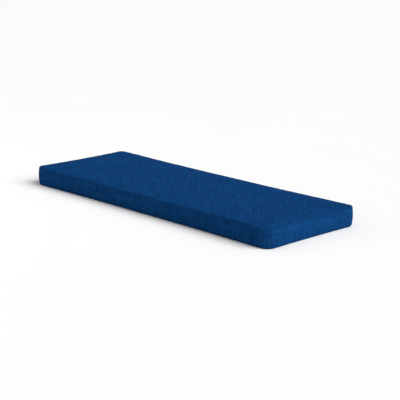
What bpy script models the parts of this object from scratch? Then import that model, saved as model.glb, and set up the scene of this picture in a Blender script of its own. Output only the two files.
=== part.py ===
"""A box-edge bench cushion lying on its back: one filled solid.

Metres, +Z up, +X along the cushion, the long front side faces -Y. The origin is under
the middle of the cushion, on the surface it rests on.

From the top down the form is a crowned top panel, its rolled edge, the sewn seam that
joins it to the boxing, the boxing itself, which swells between its two seams, the
second seam and the underside, which is flat where it rests. The four sides are drawn
in between the corners, and the top seam climbs a little towards each corner.
"""

import math

import bmesh
import bpy
from mathutils import Vector

# Driving sizes
LENGTH = 1.270            # over the boxing, corner to corner
DEPTH = 0.457
SEAM_TO_SEAM = 0.068      # the boxing between its two sewn seams
CROWN = 0.008             # rise of the top panel above its rolled edge
CORNER_RADIUS = 0.034     # of the upright corners, seen from above

# How the filling shapes the cover
EDGE_ROLL = 0.007         # radius of the rolled edge beside each seam
SEAM_ANGLE = 45.0         # where the seam lies on that roll, in degrees from the side
SEAM_DEPTH = 0.0014       # how deep the seam pulls into the roll
SEAM_SPREAD = 14.0        # degrees of the roll that sink to each side of the seam
SWELL = 0.0035            # how far the boxing stands out halfway up
LONG_SIDE_PULL = 0.0065   # how far a long side is drawn in at its middle
END_PULL = 0.0025         # the same for an end
CORNER_LIFT = 0.0015      # the top seam is this much higher at a corner

# The crown rises as 1 - place ** power, with the place running from 0 to 1
CROWN_POWER_X = 6.0
CROWN_POWER_Y = 2.3

# Mesh steps
CORE_STEPS_X = 34         # between the corner squares, along the length
CORE_STEPS_Y = 10         # the same, along the depth
CORNER_STEPS = 4          # across a corner square, so 8 round an upright corner
SWELL_STEPS = 7           # up the boxing

# Rings of the rolled edge, in degrees from the side: the panel's, the seam's three and the boxing's
ROLL_ANGLES = (68.0, SEAM_ANGLE + SEAM_SPREAD, SEAM_ANGLE, SEAM_ANGLE - SEAM_SPREAD, 12.0)

# The rolled edge reaches above the top seam, and below the bottom one, by the same amount
ROLL_OVER_SEAM = EDGE_ROLL * (1.0 - math.sin(math.radians(SEAM_ANGLE)))
EDGE_HEIGHT = SEAM_TO_SEAM + 2.0 * ROLL_OVER_SEAM

# The outline at the seams, inside the swell, and the middles of its corner arcs
HALF_LENGTH = LENGTH / 2.0 - SWELL
HALF_DEPTH = DEPTH / 2.0 - SWELL
CORE_X = HALF_LENGTH - CORNER_RADIUS
CORE_Y = HALF_DEPTH - CORNER_RADIUS

COVER_COLOUR = (0.0052, 0.0482, 0.1590, 1.0)   # royal blue outdoor cloth
COVER_ROUGHNESS = 0.92
SHARP_ANGLE = math.radians(40.0)


def clear_scene():
    for thing in list(bpy.data.objects):
        bpy.data.objects.remove(thing, do_unlink=True)


def cover_material():
    material = bpy.data.materials.new("cover_cloth")
    material.use_nodes = True
    shader = material.node_tree.nodes["Principled BSDF"]
    shader.inputs["Base Color"].default_value = COVER_COLOUR
    shader.inputs["Roughness"].default_value = COVER_ROUGHNESS
    shader.inputs["Metallic"].default_value = 0.0
    return material


def stations(core, steps):
    """Places from one side to the other: even on the core, even in angle in the corners."""
    eighth = math.radians(45.0)
    corner = []
    for step in range(1, CORNER_STEPS + 1):
        share = math.sin(eighth * step / CORNER_STEPS) / math.sin(eighth)
        corner.append(core + CORNER_RADIUS * share)
    middle = [core * (2.0 * step / steps - 1.0) for step in range(steps + 1)]
    return [-place for place in reversed(corner)] + middle + corner


def plan_point(x, y, inset):
    """Moves a place on the square-cornered plan to the rounded plan, drawn in by inset."""
    over_x = max(abs(x) - CORE_X, 0.0) / CORNER_RADIUS
    over_y = max(abs(y) - CORE_Y, 0.0) / CORNER_RADIUS
    reach = CORNER_RADIUS - inset
    round_x = over_x * math.sqrt(1.0 - over_y ** 2 / 2.0) * reach
    round_y = over_y * math.sqrt(1.0 - over_x ** 2 / 2.0) * reach
    new_x = math.copysign(min(abs(x), CORE_X) + round_x, x)
    new_y = math.copysign(min(abs(y), CORE_Y) + round_y, y)
    return new_x, new_y


def pull(place, core):
    """How much of a side's pull acts here: all at its middle, none at its corners."""
    return (1.0 - min(abs(place) / core, 1.0) ** 4) ** 2


def shaped(x, y, inset, height):
    """A point of the cushion: rounded plan, drawn-in sides and lifted corners."""
    round_x, round_y = plan_point(x, y, inset)
    new_x = round_x * (1.0 - END_PULL / HALF_LENGTH * pull(round_y, CORE_Y))
    new_y = round_y * (1.0 - LONG_SIDE_PULL / HALF_DEPTH * pull(round_x, CORE_X))
    cornerness = (round_x / HALF_LENGTH * round_y / HALF_DEPTH) ** 2
    lift = CORNER_LIFT * cornerness * height / EDGE_HEIGHT
    return Vector((new_x, new_y, height + lift))


def crown_rise(x, y):
    along = 1.0 - min(abs(x) / HALF_LENGTH, 1.0) ** CROWN_POWER_X
    across = 1.0 - min(abs(y) / HALF_DEPTH, 1.0) ** CROWN_POWER_Y
    return CROWN * along * across


def roll_ring(angle):
    """Inset and drop of one ring of the rolled edge; the seam's own ring is sunk."""
    radius = EDGE_ROLL - (SEAM_DEPTH if angle == SEAM_ANGLE else 0.0)
    turn = math.radians(angle)
    return EDGE_ROLL - radius * math.cos(turn), EDGE_ROLL - radius * math.sin(turn)


def side_rings():
    """Inset and height of every ring from below the top panel to the underside."""
    rings = []
    for angle in ROLL_ANGLES:
        inset, drop = roll_ring(angle)
        rings.append((inset, EDGE_HEIGHT - drop))
    upright = EDGE_HEIGHT - 2.0 * EDGE_ROLL
    for step in range(1, SWELL_STEPS):
        share = step / SWELL_STEPS
        rings.append((-SWELL * math.sin(math.pi * share), EDGE_HEIGHT - EDGE_ROLL - upright * share))
    rings += [roll_ring(angle) for angle in reversed(ROLL_ANGLES)]
    rings.append((EDGE_ROLL, 0.0))
    return rings


def rim(bm):
    return [edge for edge in bm.edges if edge.is_boundary]


def add_top_panel(bm, plan):
    """The crowned panel, a grid whose vertices remember their plan place."""
    along = stations(CORE_X, CORE_STEPS_X)
    across = stations(CORE_Y, CORE_STEPS_Y)
    columns, rows = len(along) - 1, len(across) - 1
    bmesh.ops.create_grid(bm, x_segments=columns, y_segments=rows, size=1.0)
    for vertex in bm.verts:
        x = along[round((vertex.co.x + 1.0) / 2.0 * columns)]
        y = across[round((vertex.co.y + 1.0) / 2.0 * rows)]
        vertex[plan] = (x, y, 0.0)
        vertex.co = shaped(x, y, EDGE_ROLL, EDGE_HEIGHT)
        vertex.co.z += crown_rise(vertex.co.x, vertex.co.y)


def add_sides(bm, plan):
    """Draws the panel's rim down ring by ring: roll, seam, boxing, seam and roll."""
    for inset, height in side_rings():
        made = bmesh.ops.extrude_edge_only(bm, edges=rim(bm))["geom"]
        for vertex in [item for item in made if isinstance(item, bmesh.types.BMVert)]:
            x, y, _ = vertex[plan]
            vertex.co = shaped(x, y, inset, height)


def add_underside(bm):
    """The flat face that rests on the surface."""
    bmesh.ops.contextual_create(bm, geom=rim(bm))


def make_cushion():
    bm = bmesh.new()
    plan = bm.verts.layers.float_vector.new("plan")
    add_top_panel(bm, plan)
    add_sides(bm, plan)
    add_underside(bm)
    bmesh.ops.recalc_face_normals(bm, faces=bm.faces)
    bm.verts.layers.float_vector.remove(plan)
    mesh = bpy.data.meshes.new("cushion")
    bm.to_mesh(mesh)
    bm.free()
    mesh.shade_smooth()
    mesh.set_sharp_from_angle(angle=SHARP_ANGLE)
    mesh.materials.append(cover_material())
    cushion = bpy.data.objects.new("cushion", mesh)
    bpy.context.scene.collection.objects.link(cushion)


clear_scene()
make_cushion()
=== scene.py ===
import math

import bmesh
import bpy
from mathutils import Matrix, Vector, noise


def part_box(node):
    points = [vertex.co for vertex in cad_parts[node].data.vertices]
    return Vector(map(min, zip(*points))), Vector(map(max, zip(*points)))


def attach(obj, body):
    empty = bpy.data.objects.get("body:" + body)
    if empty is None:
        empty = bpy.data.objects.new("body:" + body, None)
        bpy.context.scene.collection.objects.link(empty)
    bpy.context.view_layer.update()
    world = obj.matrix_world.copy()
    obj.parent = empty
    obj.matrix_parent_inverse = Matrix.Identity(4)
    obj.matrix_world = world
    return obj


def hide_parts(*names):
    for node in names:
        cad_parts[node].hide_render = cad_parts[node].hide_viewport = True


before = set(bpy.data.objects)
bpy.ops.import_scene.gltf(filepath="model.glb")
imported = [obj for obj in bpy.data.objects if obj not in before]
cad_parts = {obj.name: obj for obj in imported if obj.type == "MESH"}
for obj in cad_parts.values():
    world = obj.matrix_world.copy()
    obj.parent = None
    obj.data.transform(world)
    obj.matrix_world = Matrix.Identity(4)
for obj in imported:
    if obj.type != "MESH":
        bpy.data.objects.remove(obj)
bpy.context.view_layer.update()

mm = 0.001

# Where the picture is taken from. Azimuth 0 would look straight at the long front side.
viewpoint = {
    "azimuth": 46.11,                 # degrees
    "elevation": 14.34,
    "roll": 0.26,
    "distance": 4.427,                # from the point aimed at, m
    "aimsAt": (0.0411, 0.0353, 0.0143),
    "lens": 106.7,                    # mm
    "sensorWidth": 36.0,
    "seesTo": 200.0,                  # m, past the far edge of the floor
}

# Soft studio light: a broad key from the right end and a little behind, with even
# light from all round, so that the front boxing is the darkest side in view.
studio = {
    "keyDirection": (0.66, 0.22, 0.64),
    "keyStrength": 3.2,
    "keySpread": 50.0,                # degrees, which makes the shadows soft
    "keyColour": "#FFFFFF",
    "aroundStrength": 0.36,
    "aroundColour": "#FFFFFF",
    "fillPlace": (-1.5, -1.9, 1.0),   # m
    "fillAimsAt": (-0.4, 0.0, 0.0),
    "fillSize": 1.2,
    "fillPower": 4.0,                 # W
    "beyondStrength": 1.03,           # what the camera sees past the floor
    "beyondColour": "#F8F8F7",
}


def linearColour(hexText, alpha=1.0):
    parts = [int(hexText[i:i + 2], 16) / 255.0 for i in (1, 3, 5)]
    made = [p / 12.92 if p <= 0.04045 else ((p + 0.055) / 1.055) ** 2.4 for p in parts]
    return (made[0], made[1], made[2], alpha)


# Adds one node with its settings, and links its inputs from other nodes' outputs
def addNode(tree, kind, settings=None, values=None, links=None):
    node = tree.nodes.new(kind)
    for name, value in (settings or {}).items():
        setattr(node, name, value)
    for name, value in (values or {}).items():
        node.inputs[name].default_value = value
    for name, output in (links or {}).items():
        tree.links.new(output, node.inputs[name])
    return node


# Puts a mesh, a light or a camera into the scene
def addObject(name, data):
    thing = bpy.data.objects.new(name, data)
    bpy.context.scene.collection.objects.link(thing)
    return thing


def placeCamera():
    azimuth = math.radians(viewpoint["azimuth"])
    elevation = math.radians(viewpoint["elevation"])
    back = Vector((math.sin(azimuth) * math.cos(elevation),
                   -math.cos(azimuth) * math.cos(elevation),
                   math.sin(elevation)))
    right = Vector((0.0, 0.0, 1.0)).cross(back).normalized()
    up = back.cross(right)
    turn = Matrix((right, up, back)).transposed()
    turn = turn @ Matrix.Rotation(math.radians(viewpoint["roll"]), 3, "Z")
    lens = bpy.data.cameras.new("camera")
    lens.lens = viewpoint["lens"]
    lens.sensor_width = viewpoint["sensorWidth"]
    lens.clip_end = viewpoint["seesTo"]
    camera = addObject("camera", lens)
    place = Vector(viewpoint["aimsAt"]) + back * viewpoint["distance"]
    camera.matrix_world = Matrix.Translation(place) @ turn.to_4x4()
    bpy.context.scene.camera = camera


def placeLights():
    key = bpy.data.lights.new("key", "SUN")
    key.energy = studio["keyStrength"]
    key.angle = math.radians(studio["keySpread"])
    key.color = linearColour(studio["keyColour"])[:3]
    keyLight = addObject("key", key)
    toKey = Vector(studio["keyDirection"]).normalized()
    keyLight.rotation_euler = toKey.to_track_quat("Z", "Y").to_euler()

    fill = bpy.data.lights.new("fill", "AREA")
    fill.shape = "DISK"
    fill.size = studio["fillSize"]
    fill.energy = studio["fillPower"]
    fillLight = addObject("fill", fill)
    fillLight.location = studio["fillPlace"]
    toFill = Vector(studio["fillPlace"]) - Vector(studio["fillAimsAt"])
    fillLight.rotation_euler = toFill.to_track_quat("Z", "Y").to_euler()


# The room is even and pale. What the camera sees of it past the floor is as light as the floor.
def lightRoom():
    world = bpy.data.worlds.new("room")
    world.use_nodes = True
    tree = world.node_tree
    tree.nodes.clear()
    around = addNode(tree, "ShaderNodeBackground", values={
        "Color": linearColour(studio["aroundColour"]), "Strength": studio["aroundStrength"]})
    beyond = addNode(tree, "ShaderNodeBackground", values={
        "Color": linearColour(studio["beyondColour"]), "Strength": studio["beyondStrength"]})
    path = addNode(tree, "ShaderNodeLightPath")
    mixed = addNode(tree, "ShaderNodeMixShader", links={
        0: path.outputs["Is Camera Ray"], 1: around.outputs[0], 2: beyond.outputs[0]})
    addNode(tree, "ShaderNodeOutputWorld", links={"Surface": mixed.outputs[0]})
    bpy.context.scene.world = world
    bpy.context.scene.view_settings.view_transform = "Standard"


# Painted board: matt emulsion over a smooth sheet, even and pale, with a trace of mottle
floorBoard = {
    "size": 60.0,                     # m, to each side of the square
    "drop": 0.4 * mm,                 # below the cushion
    "darkPaint": "#F6F6F5",
    "lightPaint": "#F9F9F8",
    "mottleSize": 500.0 * mm,
    "mottleDetail": 3.0,
    "roughness": 0.9,
    "specular": 0.1,
}


def paintedBoard():
    material = bpy.data.materials.new("paintedBoard")
    material.use_nodes = True
    tree = material.node_tree
    shader = tree.nodes["Principled BSDF"]
    shader.inputs["Roughness"].default_value = floorBoard["roughness"]
    shader.inputs["Specular IOR Level"].default_value = floorBoard["specular"]
    place = addNode(tree, "ShaderNodeTexCoord")
    mottle = addNode(tree, "ShaderNodeTexNoise", values={
        "Scale": 1.0 / floorBoard["mottleSize"], "Detail": floorBoard["mottleDetail"]},
        links={"Vector": place.outputs["Object"]})
    paint = addNode(tree, "ShaderNodeValToRGB", links={"Fac": mottle.outputs["Fac"]})
    paint.color_ramp.elements[0].color = linearColour(floorBoard["darkPaint"])
    paint.color_ramp.elements[1].color = linearColour(floorBoard["lightPaint"])
    tree.links.new(paint.outputs["Color"], shader.inputs["Base Color"])
    return material


def layFloor():
    mesh = bpy.data.meshes.new("floor")
    half = floorBoard["size"] / 2.0
    corners = [(-half, -half, 0.0), (half, -half, 0.0), (half, half, 0.0), (-half, half, 0.0)]
    mesh.from_pydata(corners, [], [(0, 1, 2, 3)])
    mesh.materials.append(paintedBoard())
    floor = addObject("floor", mesh)
    floor.location.z = -floorBoard["drop"]


# The cover's cut, in metres. Overall sizes come from the frame; the rest shape the edge.
boxLow, boxHigh = [Vector(corner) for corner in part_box("cushion")]
cover = {
    "length": boxHigh.x - boxLow.x,
    "depth": boxHigh.y - boxLow.y,
    "swell": 3.5 * mm,                # of the boxing, which length and depth include
    "seamToSeam": 68.0 * mm,
    "cornerRadius": 34.0 * mm,
    "edgeRoll": 7.0 * mm,             # radius of the soft edge beside each seam
    "seamAngle": 45.0,                # where the seam lies on it, degrees from the side
    "seamDepth": 2.2 * mm,
    "seamSpread": 13.0,               # degrees of the roll that turn in to each side
    "seamInset": 2.1 * mm,            # how far the sewn line lies in from the boxing
    "panelAngle": 66.0,               # the roll's last ring towards the panel, degrees
    "boxingAngle": 14.0,              # and towards the boxing
    "seamCrease": 0.7,                # how sharp the seam stays under the subdivision
    "longSidePull": 6.5 * mm,
    "endPull": 2.5 * mm,
    "cornerLift": 1.5 * mm,
    "seamWander": 0.6 * mm,           # how far a sewn line strays from straight
    "wanderRate": 11.0,               # noise lengths in a metre
    "panelGrain": -45.0,              # degrees: the two big panels are cut on the cross
    "clothStep": 9.5 * mm,            # mesh size before the last subdivision
    "cornerSteps": 5,
    "boxingSteps": 7,
}

# How the filling rounds the cover out, and the small gathers that sewing leaves
filling = {
    "crownAtStart": 4.5 * mm,         # before it pushes
    "crownAlong": 6.0,                # power: the higher it is, the flatter the middle
    "crownAcross": 2.3,
    "swellAtStart": 2.0 * mm,
    "lumps": 0.8 * mm,                # slow unevenness of the top
    "lumpSize": 170.0 * mm,
    "pressure": 1.0,
    "quality": 6,                     # the simulation's steps in a frame
    "pointMass": 0.3,                 # kg
    "frames": 20,
    "mostMove": 3.5 * mm,
    "slack": 0.002,                   # share of spare cloth beside the seams
    "slackReach": 45.0 * mm,
    "restsBelow": 0.5 * mm,           # cloth lower than this lies on the surface
    "gatherHeight": 0.65 * mm,
    "gatherLength": 15.0 * mm,        # from one gather to the next, along the seam
    "gatherReach": 16.0 * mm,         # how far from the seam they fade out
    "gatherPower": 0.6,               # below 1, they are highest near the seam
}

# A height in the noise for each thing that follows it, so that no two of them look alike
noiseLayer = {"wander": 4.0, "boxingGathers": 3.0, "panelGathers": 9.0, "aboveTheMiddle": 20.0}

panelNumber = {"top": 0, "boxing": 1, "bottom": 2}

rollOverSeam = cover["edgeRoll"] * (1.0 - math.sin(math.radians(cover["seamAngle"])))
rollOnPanel = cover["edgeRoll"] * math.radians(90.0 - cover["seamAngle"])
edgeHeight = cover["seamToSeam"] + 2.0 * rollOverSeam
halfLength = cover["length"] / 2.0 - cover["swell"]
halfDepth = cover["depth"] / 2.0 - cover["swell"]
coreX = halfLength - cover["cornerRadius"]
coreY = halfDepth - cover["cornerRadius"]

# The rim at the seams: two long sides, two ends and a quarter turn at each corner
rimQuarter = math.pi / 2.0 * (cover["cornerRadius"] - cover["seamInset"])
rimLength = 4.0 * (coreX + coreY + rimQuarter)

# The middle of each side as a place round the rim, and the boxing's place in the bake map:
# the strip that it lies in, and where its middle is from left to right
rightMiddle = 2.0 * coreX + rimQuarter + coreY
sides = {
    "front": {"middle": coreX, "strip": 0, "across": 0.5},
    "back": {"middle": coreX + rimLength / 2.0, "strip": 1, "across": 0.5},
    "right": {"middle": rightMiddle, "strip": 2, "across": 0.25},
    "left": {"middle": rightMiddle + rimLength / 2.0, "strip": 2, "across": 0.75},
}

# The bake map is a square of side 1
bakeMap = {
    "panelLength": 0.98,
    "gap": 0.012,                     # between two pieces
}


# Places from one side to the other, with the corner squares stepped evenly in angle
def stations(core):
    eighth = math.radians(45.0)
    steps = cover["cornerSteps"]
    corner = []
    for step in range(1, steps + 1):
        share = math.sin(eighth * step / steps) / math.sin(eighth)
        corner.append(core + cover["cornerRadius"] * share)
    count = 2 * round(core / cover["clothStep"])
    middle = [core * (2.0 * step / count - 1.0) for step in range(count + 1)]
    return [-place for place in reversed(corner)] + middle + corner


# From the square-cornered plan to the rounded one, drawn in by inset
def planPoint(x, y, inset):
    radius = cover["cornerRadius"]
    overX = max(abs(x) - coreX, 0.0) / radius
    overY = max(abs(y) - coreY, 0.0) / radius
    reach = radius - inset
    roundX = overX * math.sqrt(1.0 - overY ** 2 / 2.0) * reach
    roundY = overY * math.sqrt(1.0 - overX ** 2 / 2.0) * reach
    return (math.copysign(min(abs(x), coreX) + roundX, x),
            math.copysign(min(abs(y), coreY) + roundY, y))


# How far round the rim a place is, from the start of the front side towards the right end
def roundTheRim(x, y):
    overX, overY = abs(x) - coreX, abs(y) - coreY
    if overX > 0.0 and overY > 0.0:
        roundX, roundY = planPoint(x, y, 0.0)
        turned = math.atan2(abs(roundX) - coreX, abs(roundY) - coreY) / (math.pi / 2.0)
        if (x > 0.0) == (y > 0.0):
            turned = 1.0 - turned
        part = rimQuarter * turned
        pastEnd = 2.0 * coreY + rimQuarter if y > 0.0 else 0.0
        if x > 0.0:
            return 2.0 * coreX + part + pastEnd
        return rimLength - (rimQuarter - part) - pastEnd
    if overX > overY:
        if x > 0.0:
            return 2.0 * coreX + rimQuarter + coreY + y
        return rimLength - rimQuarter - coreY - y
    if y < 0.0:
        return coreX + x
    return 3.0 * coreX + 2.0 * coreY + 2.0 * rimQuarter - x


# The same place counted from a middle, shifted by whole rims to lie nearest to it
def fromMiddle(place, middle):
    return (place - middle + rimLength / 2.0) % rimLength - rimLength / 2.0


# A side's pull acts fully at its middle and fades out at its corners
def pullShare(place, core):
    return (1.0 - min(abs(place) / core, 1.0) ** 4) ** 2


def shapedPoint(x, y, inset, height):
    roundX, roundY = planPoint(x, y, inset)
    newX = roundX * (1.0 - cover["endPull"] / halfLength * pullShare(roundY, coreY))
    newY = roundY * (1.0 - cover["longSidePull"] / halfDepth * pullShare(roundX, coreX))
    cornerShare = (roundX / halfLength * roundY / halfDepth) ** 2
    lift = cover["cornerLift"] * cornerShare * height / edgeHeight
    rate = cover["wanderRate"]
    spot = Vector((x * rate, y * rate, noiseLayer["wander"]))
    stray = cover["seamWander"] * noise.noise(spot)
    return Vector((newX, newY, height + lift + stray * height / edgeHeight))


# A ring of the rolled edge: how far it lies in, its distance above the roll's middle and
# its distance along the cloth from the seam, whose own ring is sunk
def rollRing(angle):
    sunk = cover["seamDepth"] if angle == cover["seamAngle"] else 0.0
    radius = cover["edgeRoll"] - sunk
    turn = math.radians(angle)
    off = cover["edgeRoll"] * math.radians(angle - cover["seamAngle"])
    return cover["edgeRoll"] - radius * math.cos(turn), radius * math.sin(turn), off


# The rings down the side. Each has its inset and height, its distance down the cloth from
# the upper seam, its distance off the nearer seam (minus on the boxing), and the panel that
# starts below it.
def sideRings():
    roll = cover["edgeRoll"]
    seam = cover["seamAngle"]
    angles = (cover["panelAngle"], seam + cover["seamSpread"], seam,
              seam - cover["seamSpread"], cover["boxingAngle"], 0.0)
    upright = edgeHeight - 2.0 * roll
    boxingHeight = upright + 2.0 * roll * math.radians(seam)
    rings = []
    for angle in angles:
        inset, rise, off = rollRing(angle)
        rings.append({"inset": inset, "height": edgeHeight - roll + rise,
                      "down": -off, "off": off, "sewn": angle == seam,
                      "below": "top" if angle > seam else "boxing"})
    for step in range(1, cover["boxingSteps"]):
        share = step / cover["boxingSteps"]
        down = roll * math.radians(seam) + upright * share
        rings.append({"inset": -filling["swellAtStart"] * math.sin(math.pi * share),
                      "height": edgeHeight - roll - upright * share,
                      "down": down, "off": -min(down, boxingHeight - down), "sewn": False,
                      "below": "boxing"})
    for angle in reversed(angles):
        inset, rise, off = rollRing(angle)
        rings.append({"inset": inset, "height": roll - rise,
                      "down": boxingHeight + off, "off": off, "sewn": angle == seam,
                      "below": "bottom" if angle >= seam else "boxing"})
    return rings


# A panel's distance from its seam at a place on it, measured along the cloth
def panelOff(flatX, flatY):
    overX, overY = abs(flatX) - coreX, abs(flatY) - coreY
    outside = math.hypot(max(overX, 0.0), max(overY, 0.0)) + min(max(overX, overY), 0.0)
    return cover["cornerRadius"] - cover["edgeRoll"] + rollOnPanel - outside


def startHeight(place):
    alongShare = 1.0 - min(abs(place.x) / halfLength, 1.0) ** filling["crownAlong"]
    acrossShare = 1.0 - min(abs(place.y) / halfDepth, 1.0) ** filling["crownAcross"]
    lump = noise.noise(Vector((place.x, place.y, 0.0)) / filling["lumpSize"])
    return (filling["crownAtStart"] + filling["lumps"] * lump) * alongShare * acrossShare


# One of the two big panels. The third number of "plan" tells their rims apart.
def layPanel(bm, name):
    plan = bm.verts.layers.float_vector["plan"]
    flat = bm.verts.layers.float_vector["flat"]
    off = bm.verts.layers.float["offSeam"]
    panel = bm.faces.layers.int["panel"]
    onTop = name == "top"
    along, across = stations(coreX), stations(coreY)
    columns, rows = len(along) - 1, len(across) - 1
    grid = bmesh.ops.create_grid(bm, x_segments=columns, y_segments=rows, size=1.0)["verts"]
    for vertex in grid:
        x = along[round((vertex.co.x + 1.0) / 2.0 * columns)]
        y = across[round((vertex.co.y + 1.0) / 2.0 * rows)]
        flatX, flatY = planPoint(x, y, cover["edgeRoll"])
        vertex[plan] = (x, y, 1.0 if onTop else -1.0)
        vertex[flat] = (flatX, flatY, 0.0)
        vertex[off] = panelOff(flatX, flatY)
        vertex.co = shapedPoint(x, y, cover["edgeRoll"], edgeHeight if onTop else 0.0)
        if onTop:
            vertex.co.z += startHeight(vertex.co)
    for face in {face for vertex in grid for face in vertex.link_faces}:
        face[panel] = panelNumber[name]


# Rings go down from the top panel's rim, and the last one joins the bottom panel's rim
def sewBoxing(bm):
    plan = bm.verts.layers.float_vector["plan"]
    flat = bm.verts.layers.float_vector["flat"]
    off = bm.verts.layers.float["offSeam"]
    sewn = bm.verts.layers.float["sewn"]
    panel = bm.faces.layers.int["panel"]
    crease = bm.edges.layers.float["crease_edge"]
    rim = [edge for edge in bm.edges if edge.is_boundary and edge.verts[0][plan].z > 0.0]
    starts = "top"
    for ring in sideRings():
        made = bmesh.ops.extrude_edge_only(bm, edges=rim)["geom"]
        flatInset = cover["edgeRoll"] - rollOnPanel + ring["off"]
        for vertex in [item for item in made if isinstance(item, bmesh.types.BMVert)]:
            x, y, _ = vertex[plan]
            flatX, flatY = planPoint(x, y, flatInset)
            vertex.co = shapedPoint(x, y, ring["inset"], ring["height"])
            vertex[flat] = (flatX, flatY, ring["down"])
            vertex[off] = ring["off"]
            vertex[sewn] = 1.0 if ring["sewn"] else 0.0
            vertex[plan] = (x, y, 0.0)
        for face in [item for item in made if isinstance(item, bmesh.types.BMFace)]:
            face[panel] = panelNumber[starts]
        rim = [item for item in made if isinstance(item, bmesh.types.BMEdge) and item.is_boundary]
        for edge in rim:
            edge[crease] = cover["seamCrease"] if ring["sewn"] else 0.0
        starts = ring["below"]
    lower = [edge for edge in bm.edges if edge.is_boundary and edge.verts[0][plan].z < 0.0]
    for face in bmesh.ops.bridge_loops(bm, edges=rim + lower)["faces"]:
        face[panel] = panelNumber["bottom"]


# Sorts edges and faces by their points, as Blender may number new ones differently each run
def putInOrder(bm):
    bm.verts.index_update()
    count = len(bm.verts)

    def rank(item):
        total = 0
        for number in sorted(vertex.index for vertex in item.verts)[:3]:
            total = total * count + number
        return total

    bm.edges.sort(key=rank)
    bm.faces.sort(key=rank)


# The whole cover as one closed mesh. Every point keeps its place on the square-cornered
# plan in "plan" and on the cut cloth in "flat", and every face keeps the number of its panel.
def cutAndSew():
    bm = bmesh.new()
    for name in ("plan", "flat"):
        bm.verts.layers.float_vector.new(name)
    for name in ("offSeam", "sewn"):
        bm.verts.layers.float.new(name)
    bm.faces.layers.int.new("panel")
    bm.edges.layers.float.new("crease_edge")
    layPanel(bm, "top")
    layPanel(bm, "bottom")
    sewBoxing(bm)
    putInOrder(bm)
    bmesh.ops.recalc_face_normals(bm, faces=bm.faces)
    return bm


# Two maps in metres: "threads" has the cloth's own directions on each cut panel, and
# "seamRun" has the distance along and off the nearest seam. The boxing's ends meet at the
# middle of the back.
def mapTheCloth(bm):
    plan = bm.verts.layers.float_vector["plan"]
    flat = bm.verts.layers.float_vector["flat"]
    off = bm.verts.layers.float["offSeam"]
    panel = bm.faces.layers.int["panel"]
    threads = bm.loops.layers.uv.new("threads")
    seamRun = bm.loops.layers.uv.new("seamRun")
    grain = Matrix.Rotation(math.radians(cover["panelGrain"]), 2)
    frontMiddle = sides["front"]["middle"]
    for face in bm.faces:
        first = face.verts[0][plan]
        startsAt = fromMiddle(roundTheRim(first.x, first.y), frontMiddle)
        for loop in face.loops:
            corner = loop.vert
            place = roundTheRim(corner[plan].x, corner[plan].y) - frontMiddle
            run = startsAt + fromMiddle(place, startsAt)
            loop[seamRun].uv = (run, corner[off])
            if face[panel] == panelNumber["boxing"]:
                loop[threads].uv = (run, corner[flat].z)
            else:
                loop[threads].uv = grain @ corner[flat].xy


# The bake map: both panels over each other, then the front, the back and the two ends
def mapForBake(bm):
    plan = bm.verts.layers.float_vector["plan"]
    flat = bm.verts.layers.float_vector["flat"]
    panel = bm.faces.layers.int["panel"]
    bake = bm.loops.layers.uv.new("OFBake")
    scale = bakeMap["panelLength"] / (2.0 * halfLength)
    gap = bakeMap["gap"]
    panelHeight = 2.0 * halfDepth * scale
    stripHeight = (cover["seamToSeam"] + cover["edgeRoll"]) * scale
    topMiddle = gap + panelHeight / 2.0
    bottomMiddle = topMiddle + panelHeight + gap
    firstStrip = 2.0 * (panelHeight + gap) + gap
    for face in bm.faces:
        middle = sum((vertex[plan] for vertex in face.verts), Vector()) / len(face.verts)
        if abs(middle.y) - coreY > abs(middle.x) - coreX:
            side = sides["front" if middle.y < 0.0 else "back"]
        else:
            side = sides["right" if middle.x > 0.0 else "left"]
        for loop in face.loops:
            corner = loop.vert
            if face[panel] == panelNumber["boxing"]:
                run = fromMiddle(roundTheRim(corner[plan].x, corner[plan].y), side["middle"])
                low = firstStrip + side["strip"] * (stripHeight + gap)
                loop[bake].uv = (side["across"] + run * scale, low + corner[flat].z * scale)
            else:
                low = topMiddle if face[panel] == panelNumber["top"] else bottomMiddle
                loop[bake].uv = (0.5 + corner[flat].x * scale, low + corner[flat].y * scale)


# The seams and the cloth that lies on the surface are held, and there is slack by the seams
def holdSeams(thing):
    mesh = thing.data
    offs = [item.value for item in mesh.attributes["offSeam"].data]
    sewns = [item.value for item in mesh.attributes["sewn"].data]
    held = thing.vertex_groups.new(name="held")
    slack = thing.vertex_groups.new(name="slack")
    for vertex, off, sewn in zip(mesh.vertices, offs, sewns):
        if vertex.co.z < filling["restsBelow"] or sewn > 0.5:
            held.add([vertex.index], 1.0, "REPLACE")
        near = max(0.0, 1.0 - abs(off) / filling["slackReach"])
        slack.add([vertex.index], near, "REPLACE")


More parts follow.
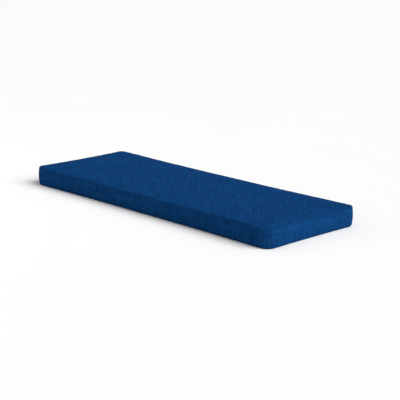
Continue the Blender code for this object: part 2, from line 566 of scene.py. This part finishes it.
# The filling pushes the sewn cover out from inside, by cloth simulation, and no point moves
# further than mostMove
def fillCover(thing):
    holdSeams(thing)
    cloth = thing.modifiers.new("filling", "CLOTH")
    cloth.settings.quality = filling["quality"]
    cloth.settings.mass = filling["pointMass"]
    cloth.settings.use_pressure = True
    cloth.settings.uniform_pressure_force = filling["pressure"]
    cloth.settings.effector_weights.gravity = 0.0
    cloth.settings.vertex_group_mass = "held"
    cloth.settings.vertex_group_shrink = "slack"
    cloth.settings.shrink_min = 0.0
    cloth.settings.shrink_max = -filling["slack"]
    cloth.collision_settings.use_collision = False
    cloth.point_cache.frame_start = 1
    cloth.point_cache.frame_end = filling["frames"]
    for step in range(1, filling["frames"] + 1):
        bpy.context.scene.frame_set(step)
    filled = thing.evaluated_get(bpy.context.evaluated_depsgraph_get())
    after = [vertex.co.copy() for vertex in filled.data.vertices]
    thing.modifiers.remove(cloth)
    bpy.context.scene.frame_set(1)

    most = filling["mostMove"]
    furthest = 0.0
    for vertex, end in zip(thing.data.vertices, after):
        move = end - vertex.co
        furthest = max(furthest, move.length)
        if move.length > 0.0:
            move = move * (most * math.tanh(move.length / most) / move.length)
        vertex.co += move
        vertex.co.z = max(vertex.co.z, 0.0)
    print("filling: furthest point moved %.1f mm before the cap" % (furthest / mm))


# One subdivision that keeps the seams sharp, applied to the mesh
def smoothCloth(thing):
    finer = thing.modifiers.new("finer", "SUBSURF")
    finer.levels = 1
    finer.render_levels = 1
    finer.uv_smooth = "NONE"
    depsgraph = bpy.context.evaluated_depsgraph_get()
    rough = thing.data
    thing.data = bpy.data.meshes.new_from_object(
        thing.evaluated_get(depsgraph), preserve_all_data_layers=True, depsgraph=depsgraph)
    thing.modifiers.clear()
    bpy.data.meshes.remove(rough)


# Small gathers beside the seams, where the cloth is eased onto the thread
def gatherSeams(thing):
    mesh = thing.data
    plans = [item.vector.copy() for item in mesh.attributes["plan"].data]
    offs = [item.value for item in mesh.attributes["offSeam"].data]
    normals = [vertex.normal.copy() for vertex in mesh.vertices]
    circle = rimLength / (2.0 * math.pi * filling["gatherLength"])
    reach = filling["gatherReach"]
    for vertex, plan, off, normal in zip(mesh.vertices, plans, offs, normals):
        if vertex.co.z < filling["restsBelow"] or abs(off) > reach:
            continue
        turned = 2.0 * math.pi * roundTheRim(plan.x, plan.y) / rimLength
        layer = noiseLayer["boxingGathers" if off < 0.0 else "panelGathers"]
        if vertex.co.z > edgeHeight / 2.0:
            layer += noiseLayer["aboveTheMiddle"]
        spot = Vector((math.cos(turned) * circle, math.sin(turned) * circle, layer))
        fade = math.sin(math.pi * (abs(off) / reach) ** filling["gatherPower"])
        vertex.co += normal * (filling["gatherHeight"] * noise.noise(spot) * fade)
        vertex.co.z = max(vertex.co.z, 0.0)


# Woven outdoor cloth: spun olefin, plain weave, with a linen look. Solution-dyed yarn gives
# a deep even royal blue without gloss, and thick and thin yarns give fine lighter and darker
# streaks both ways.
wovenCloth = {
    "threadDrawn": 2.6,               # mm. The real pitch is about 1 mm, too fine to show.
    "thickEvery": 5,                  # every fifth yarn is a thicker, lighter one
    "thickWarp": 0.38,                # how much lighter, in shares of the yarns' range
    "thickWeft": 0.20,
    "streakWidth": 12.0,              # mm, a group of thicker yarns
    "streakLength": 140.0,
    "slubLength": 42.0,               # mm, a thick place in one yarn
    "yarnStep": 0.73,                 # noise lengths from one yarn's tone to the next
    "firstYarn": 0.31,                # and where the first yarn's tone is
    "warpNoise": 0.0,                 # the place in the noise that each set of yarns reads
    "weftNoise": 40.0,
    "streakNoise": 7.0,
    "darkYarn": "#092B55",
    "midYarn": "#0C3A6B",
    "lightYarn": "#134B83",
    "contrast": 1.12,                 # of the yarns' tones, as shares of the range of dyes
    "darken": 0.67,                   # sets the mean tone near the middle dye
    "gapShade": 0.16,                 # painted shade between the yarns, taken off their colour
    "backLight": 0.08,                # and a painted highlight on their backs
    "weaveHeight": 0.30,              # mm
    "crossingDip": 0.6,               # how far the upper yarn follows the lower one's back
    "thickRise": 0.5,                 # how far a light yarn stands out, as it is thicker
    "bumpStrength": 0.8,
    "roughness": 0.92,
    "specular": 0.01,
    "sheen": 0.05,
    "sheenRoughness": 0.45,
    "sheenColour": "#1E6AC4",
    "foldShade": 0.42,                # painted shade in the fold of a seam
    "foldReach": 1.3,                 # mm to each side
    "stitchLength": 3.6,              # mm
    "stitchHeight": 0.25,             # mm, where the thread draws the cloth in
    "stitchReach": 3.5,
}


# One set of yarns, the warp or the weft: each yarn's number, its tone and its round back
def spinYarns(tree, cloth, place, across, along, thick, noisePlace):
    counted = addNode(tree, "ShaderNodeMath", {"operation": "DIVIDE"},
                      {1: wovenCloth["threadDrawn"]}, {0: place.outputs[across]})
    number = addNode(tree, "ShaderNodeMath", {"operation": "FLOOR"},
                     links={0: counted.outputs[0]})

    # each yarn has its own tone, and thick places along it
    yarnPlace = addNode(tree, "ShaderNodeMath", {"operation": "MULTIPLY_ADD"},
                        {1: wovenCloth["yarnStep"], 2: wovenCloth["firstYarn"] + noisePlace},
                        {0: number.outputs[0]})
    slubPlace = addNode(tree, "ShaderNodeMath", {"operation": "DIVIDE"},
                        {1: wovenCloth["slubLength"]}, {0: place.outputs[along]})
    yarn = addNode(tree, "ShaderNodeCombineXYZ",
                   links={0: yarnPlace.outputs[0], 1: slubPlace.outputs[0]})
    slub = addNode(tree, "ShaderNodeTexNoise", {"noise_dimensions": "2D"},
                   {"Scale": 1.0, "Detail": 1.0}, {"Vector": yarn.outputs[0]})

    # streaks: groups of thicker yarns that lie side by side
    rate = {across: 1.0 / wovenCloth["streakWidth"], along: 1.0 / wovenCloth["streakLength"]}
    group = addNode(tree, "ShaderNodeMapping", values={
        "Location": (noisePlace, wovenCloth["streakNoise"], 0.0),
        "Scale": (rate["X"], rate["Y"], 1.0)}, links={"Vector": cloth.outputs[0]})
    streak = addNode(tree, "ShaderNodeTexNoise", {"noise_dimensions": "2D"},
                     {"Scale": 1.0, "Detail": 3.0}, {"Vector": group.outputs[0]})
    even = addNode(tree, "ShaderNodeMath", {"operation": "ADD"},
                   links={0: slub.outputs["Fac"], 1: streak.outputs["Fac"]})

    # one yarn in thickEvery is thick
    counter = addNode(tree, "ShaderNodeMath", {"operation": "MODULO"},
                      {1: wovenCloth["thickEvery"]}, {0: number.outputs[0]})
    isThick = addNode(tree, "ShaderNodeMath", {"operation": "COMPARE"}, {1: 0.0, 2: 0.5},
                      {0: counter.outputs[0]})
    tone = addNode(tree, "ShaderNodeMath", {"operation": "MULTIPLY_ADD"}, {1: thick},
                   {0: isThick.outputs[0], 2: even.outputs[0]})

    # the yarn's round back, from edge to edge
    turn = addNode(tree, "ShaderNodeMath", {"operation": "MULTIPLY"}, {1: math.pi},
                   {0: counted.outputs[0]})
    wave = addNode(tree, "ShaderNodeMath", {"operation": "SINE"}, links={0: turn.outputs[0]})
    back = addNode(tree, "ShaderNodeMath", {"operation": "ABSOLUTE"},
                   links={0: wave.outputs[0]})
    return {"number": number.outputs[0], "tone": tone.outputs[0], "back": back.outputs[0]}


# Plain weave: warp and weft take turns on top. It gives the upper yarn's tone and height.
def weaveYarns(tree, warp, weft):
    together = addNode(tree, "ShaderNodeMath", {"operation": "ADD"},
                       links={0: warp["number"], 1: weft["number"]})
    halved = addNode(tree, "ShaderNodeMath", {"operation": "MODULO"}, {1: 2.0},
                     {0: together.outputs[0]})
    weftOver = addNode(tree, "ShaderNodeMath", {"operation": "ABSOLUTE"},
                       links={0: halved.outputs[0]})
    tone = addNode(tree, "ShaderNodeMix", links={
        "Factor": weftOver.outputs[0], "A": warp["tone"], "B": weft["tone"]})
    dip = wovenCloth["crossingDip"]
    crossings = []
    for upper, lower in ((warp, weft), (weft, warp)):
        dipped = addNode(tree, "ShaderNodeMath", {"operation": "MULTIPLY_ADD"},
                         {1: dip, 2: 1.0 - dip}, {0: lower["back"]})
        crossings.append(addNode(tree, "ShaderNodeMath", {"operation": "MULTIPLY"},
                                 links={0: upper["back"], 1: dipped.outputs[0]}))
    weave = addNode(tree, "ShaderNodeMix", links={
        "Factor": weftOver.outputs[0], "A": crossings[0].outputs[0],
        "B": crossings[1].outputs[0]})
    return tone.outputs["Result"], weave.outputs["Result"]


# Thick yarns are lighter; painted shade between the yarns, a painted highlight on their backs
# and painted shade in a seam's fold all go into the colour
def dyeAndPaintShade(tree, tone, weave, offSeam):
    # painted shade in the gaps between yarns and a painted highlight on their backs, from the
    # weave's height
    shadow = addNode(tree, "ShaderNodeMapRange", values={
        "From Min": 0.0, "From Max": 1.0,
        "To Min": -wovenCloth["gapShade"], "To Max": wovenCloth["backLight"]},
        links={"Value": weave})
    spread = addNode(tree, "ShaderNodeMath", {"operation": "MULTIPLY_ADD"},
                     {1: wovenCloth["contrast"], 2: -wovenCloth["darken"]}, {0: tone})
    shown = addNode(tree, "ShaderNodeMath", {"operation": "ADD"},
                    links={0: spread.outputs[0], 1: shadow.outputs["Result"]})
    dyeAndShade = addNode(tree, "ShaderNodeValToRGB", links={"Fac": shown.outputs[0]})
    dyeAndShade.color_ramp.elements[0].color = linearColour(wovenCloth["darkYarn"])
    dyeAndShade.color_ramp.elements[1].color = linearColour(wovenCloth["lightYarn"])
    dyeAndShade.color_ramp.elements.new(0.5).color = linearColour(wovenCloth["midYarn"])
    # painted shade: the colour darkens towards each seam's line, standing in for the fold's
    # shadow
    paintedFoldShade = addNode(tree, "ShaderNodeMapRange", {"interpolation_type": "SMOOTHSTEP"}, {
        "From Min": 0.0, "From Max": wovenCloth["foldReach"] * mm,
        "To Min": 1.0 - wovenCloth["foldShade"], "To Max": 1.0}, {"Value": offSeam})
    shaded = addNode(tree, "ShaderNodeVectorMath", {"operation": "SCALE"}, links={
        0: dyeAndShade.outputs["Color"], "Scale": paintedFoldShade.outputs["Result"]})
    return shaded.outputs[0]


# Relief in millimetres: the weave, thick yarns and the stitches' pull beside each seam
def raiseCloth(tree, tone, weave, alongSeam, offSeam):
    yarnRise = addNode(tree, "ShaderNodeMath", {"operation": "MULTIPLY"},
                       {1: wovenCloth["thickRise"]}, {0: tone})
    relief = addNode(tree, "ShaderNodeMath", {"operation": "ADD"},
                     links={0: weave, 1: yarnRise.outputs[0]})
    clothRelief = addNode(tree, "ShaderNodeMath", {"operation": "MULTIPLY"},
                          {1: wovenCloth["weaveHeight"]}, {0: relief.outputs[0]})
    stitchTurn = addNode(tree, "ShaderNodeMath", {"operation": "MULTIPLY"},
                         {1: 2.0 * math.pi / (wovenCloth["stitchLength"] * mm)},
                         {0: alongSeam})
    stitch = addNode(tree, "ShaderNodeMath", {"operation": "SINE"},
                     links={0: stitchTurn.outputs[0]})
    nearSeam = addNode(tree, "ShaderNodeMapRange", values={
        "From Min": 0.0, "From Max": wovenCloth["stitchReach"] * mm,
        "To Min": wovenCloth["stitchHeight"], "To Max": 0.0}, links={"Value": offSeam})
    stitchRelief = addNode(tree, "ShaderNodeMath", {"operation": "MULTIPLY"},
                           links={0: stitch.outputs[0], 1: nearSeam.outputs["Result"]})
    height = addNode(tree, "ShaderNodeMath", {"operation": "ADD"},
                     links={0: clothRelief.outputs[0], 1: stitchRelief.outputs[0]})
    bump = addNode(tree, "ShaderNodeBump", values={
        "Strength": wovenCloth["bumpStrength"], "Distance": mm},
        links={"Height": height.outputs[0]})
    return bump.outputs["Normal"]


def wovenOutdoorCloth():
    material = bpy.data.materials.new("wovenOutdoorCloth")
    material.use_nodes = True
    tree = material.node_tree
    shader = tree.nodes["Principled BSDF"]
    shader.inputs["Roughness"].default_value = wovenCloth["roughness"]
    shader.inputs["Specular IOR Level"].default_value = wovenCloth["specular"]
    shader.inputs["Sheen Weight"].default_value = wovenCloth["sheen"]
    shader.inputs["Sheen Roughness"].default_value = wovenCloth["sheenRoughness"]
    shader.inputs["Sheen Tint"].default_value = linearColour(wovenCloth["sheenColour"])

    # cloth places in millimetres: x across the warp, y across the weft
    threads = addNode(tree, "ShaderNodeUVMap", {"uv_map": "threads"})
    cloth = addNode(tree, "ShaderNodeVectorMath", {"operation": "SCALE"}, {"Scale": 1.0 / mm},
                    {0: threads.outputs["UV"]})
    place = addNode(tree, "ShaderNodeSeparateXYZ", links={0: cloth.outputs[0]})
    warp = spinYarns(tree, cloth, place, "X", "Y", wovenCloth["thickWarp"],
                     wovenCloth["warpNoise"])
    weft = spinYarns(tree, cloth, place, "Y", "X", wovenCloth["thickWeft"],
                     wovenCloth["weftNoise"])
    tone, weave = weaveYarns(tree, warp, weft)

    # seam places in metres: x along the nearest seam, y off it
    seamRun = addNode(tree, "ShaderNodeUVMap", {"uv_map": "seamRun"})
    seam = addNode(tree, "ShaderNodeSeparateXYZ", links={0: seamRun.outputs["UV"]})
    offSeam = addNode(tree, "ShaderNodeMath", {"operation": "ABSOLUTE"},
                      links={0: seam.outputs["Y"]})
    colour = dyeAndPaintShade(tree, tone, weave, offSeam.outputs[0])
    normal = raiseCloth(tree, tone, weave, seam.outputs["X"], offSeam.outputs[0])
    tree.links.new(colour, shader.inputs["Base Color"])
    tree.links.new(normal, shader.inputs["Normal"])
    return material


def makeCover():
    bm = cutAndSew()
    mapTheCloth(bm)
    mapForBake(bm)
    print("cover cut:", len(bm.verts), "points, open edges",
          sum(1 for edge in bm.edges if edge.is_boundary))
    mesh = bpy.data.meshes.new("cushionCover")
    bm.to_mesh(mesh)
    bm.free()
    thing = addObject("cushionCover", mesh)
    fillCover(thing)
    smoothCloth(thing)
    gatherSeams(thing)
    thing.data.shade_smooth()
    thing.data.materials.append(wovenOutdoorCloth())
    print("cover finished:", len(thing.data.polygons), "faces")
    return thing


print("frame loaded")
placeCamera()
placeLights()
lightRoom()
layFloor()
print("camera, light and floor placed")

coverObject = makeCover()
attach(coverObject, "root")
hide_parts("cushion")
